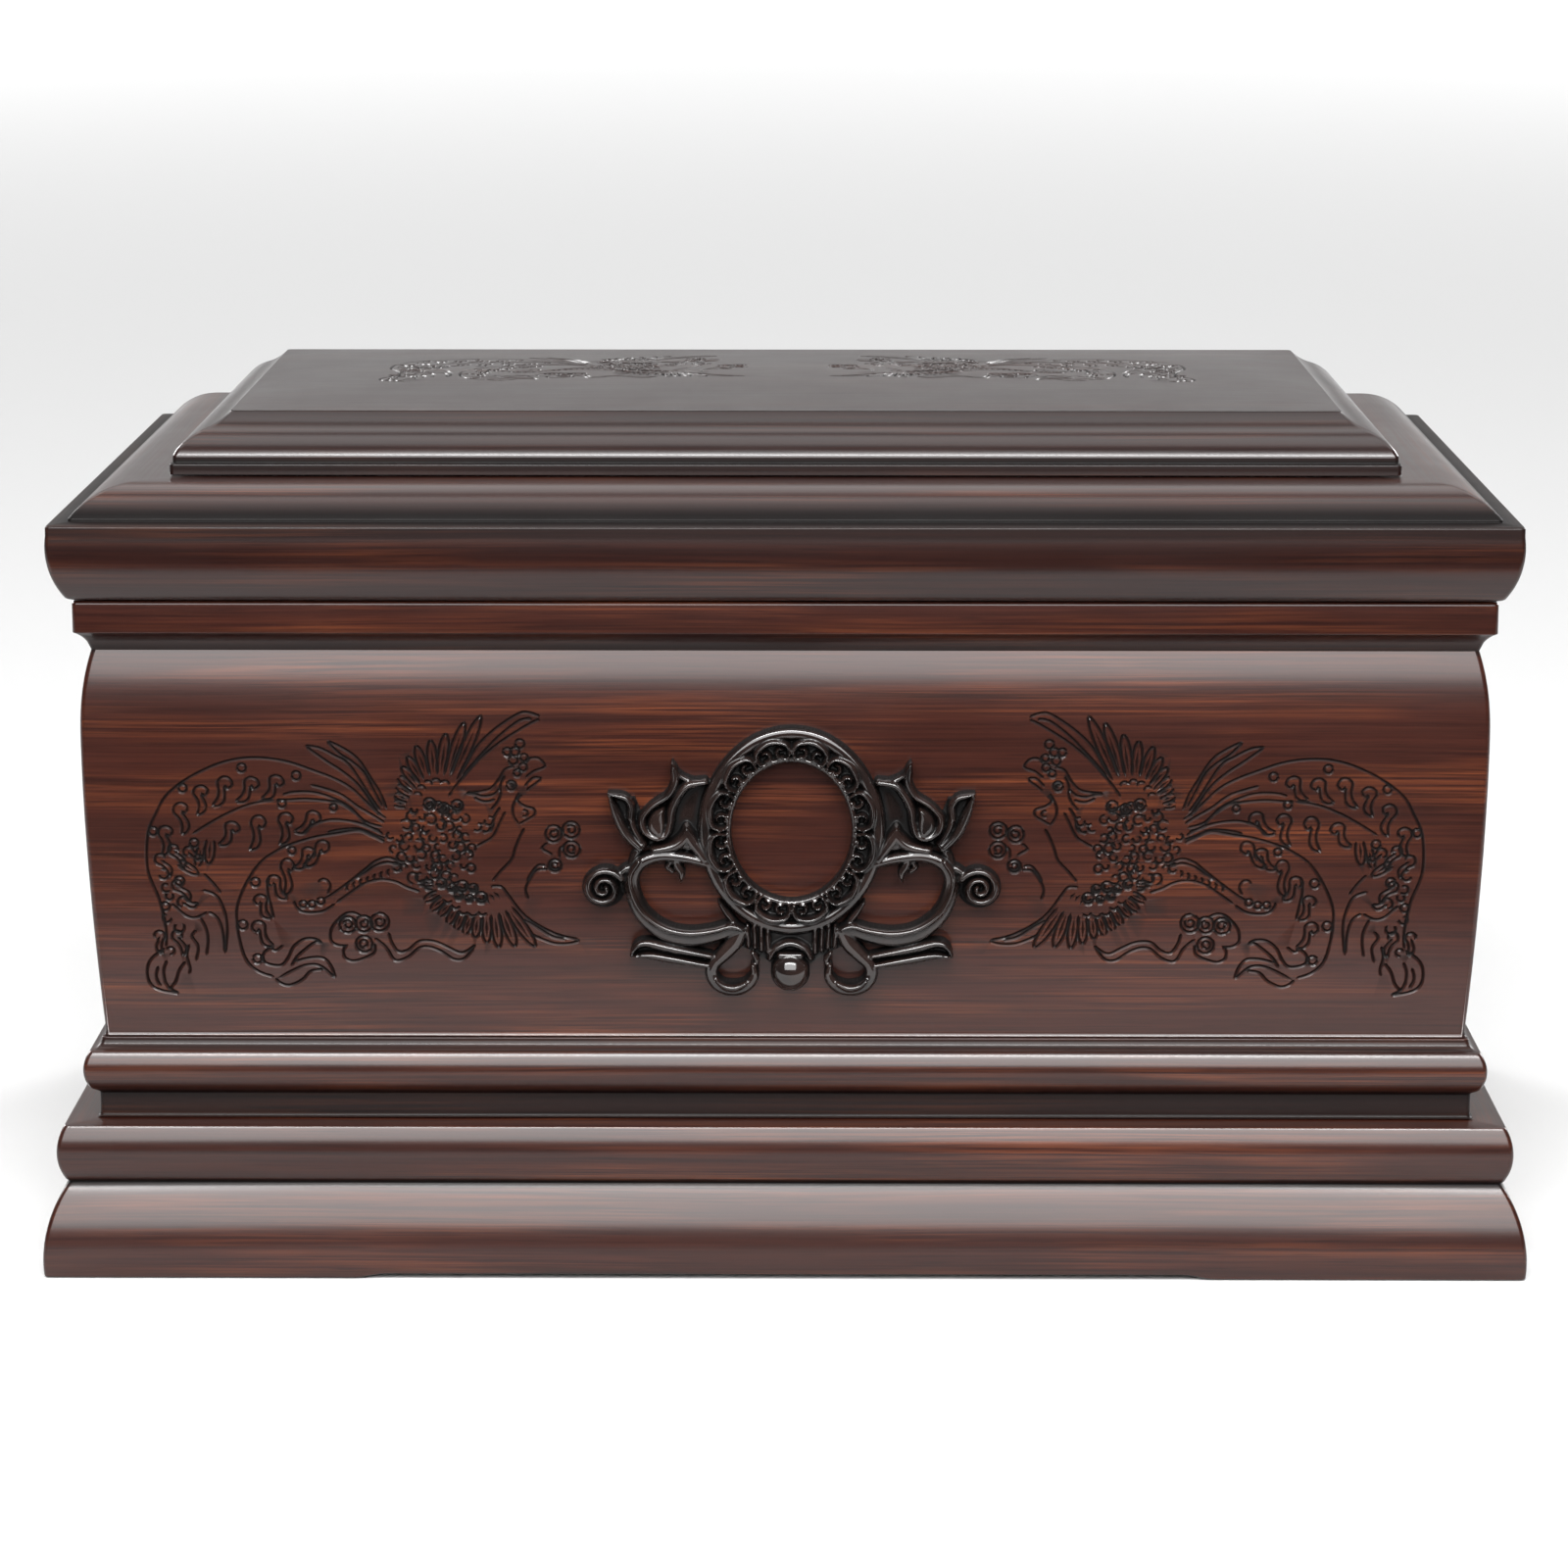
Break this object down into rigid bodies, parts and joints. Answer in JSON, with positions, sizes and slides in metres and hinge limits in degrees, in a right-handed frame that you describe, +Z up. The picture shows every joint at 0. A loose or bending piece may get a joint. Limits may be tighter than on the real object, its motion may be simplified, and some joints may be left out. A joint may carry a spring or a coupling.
{
  "type": "wooden cremation urn",
  "caption": "Casket-shaped wooden cremation urn with a bulging hollow case, a moulded plinth, a stepped lift-off lid, engraved phoenixes and a carved front ornament.",
  "frame": {"origin": "middle of the underside of the foot, on the surface it stands on", "axes": "+X along the width, to the right as the front is seen; the front faces -Y; +Z up"},
  "size_m": [0.36, 0.2216, 0.2074],
  "materials": {
    "lacquered_wood": "satin to gloss lacquer over dark red-brown streaked wood",
    "raw_board": "plain sanded board",
    "ebonised_carving": "nearly black, glossy"
  },
  "bodies": {
    "root": {"base_board": "raw_board", "plinth": "lacquered_wood", "waist_moulding": "lacquered_wood", "case": "lacquered_wood", "lid_frame": "lacquered_wood", "lid_top_board": "lacquered_wood", "front_ornament": "ebonised_carving"}
  },
  "joints": []
}
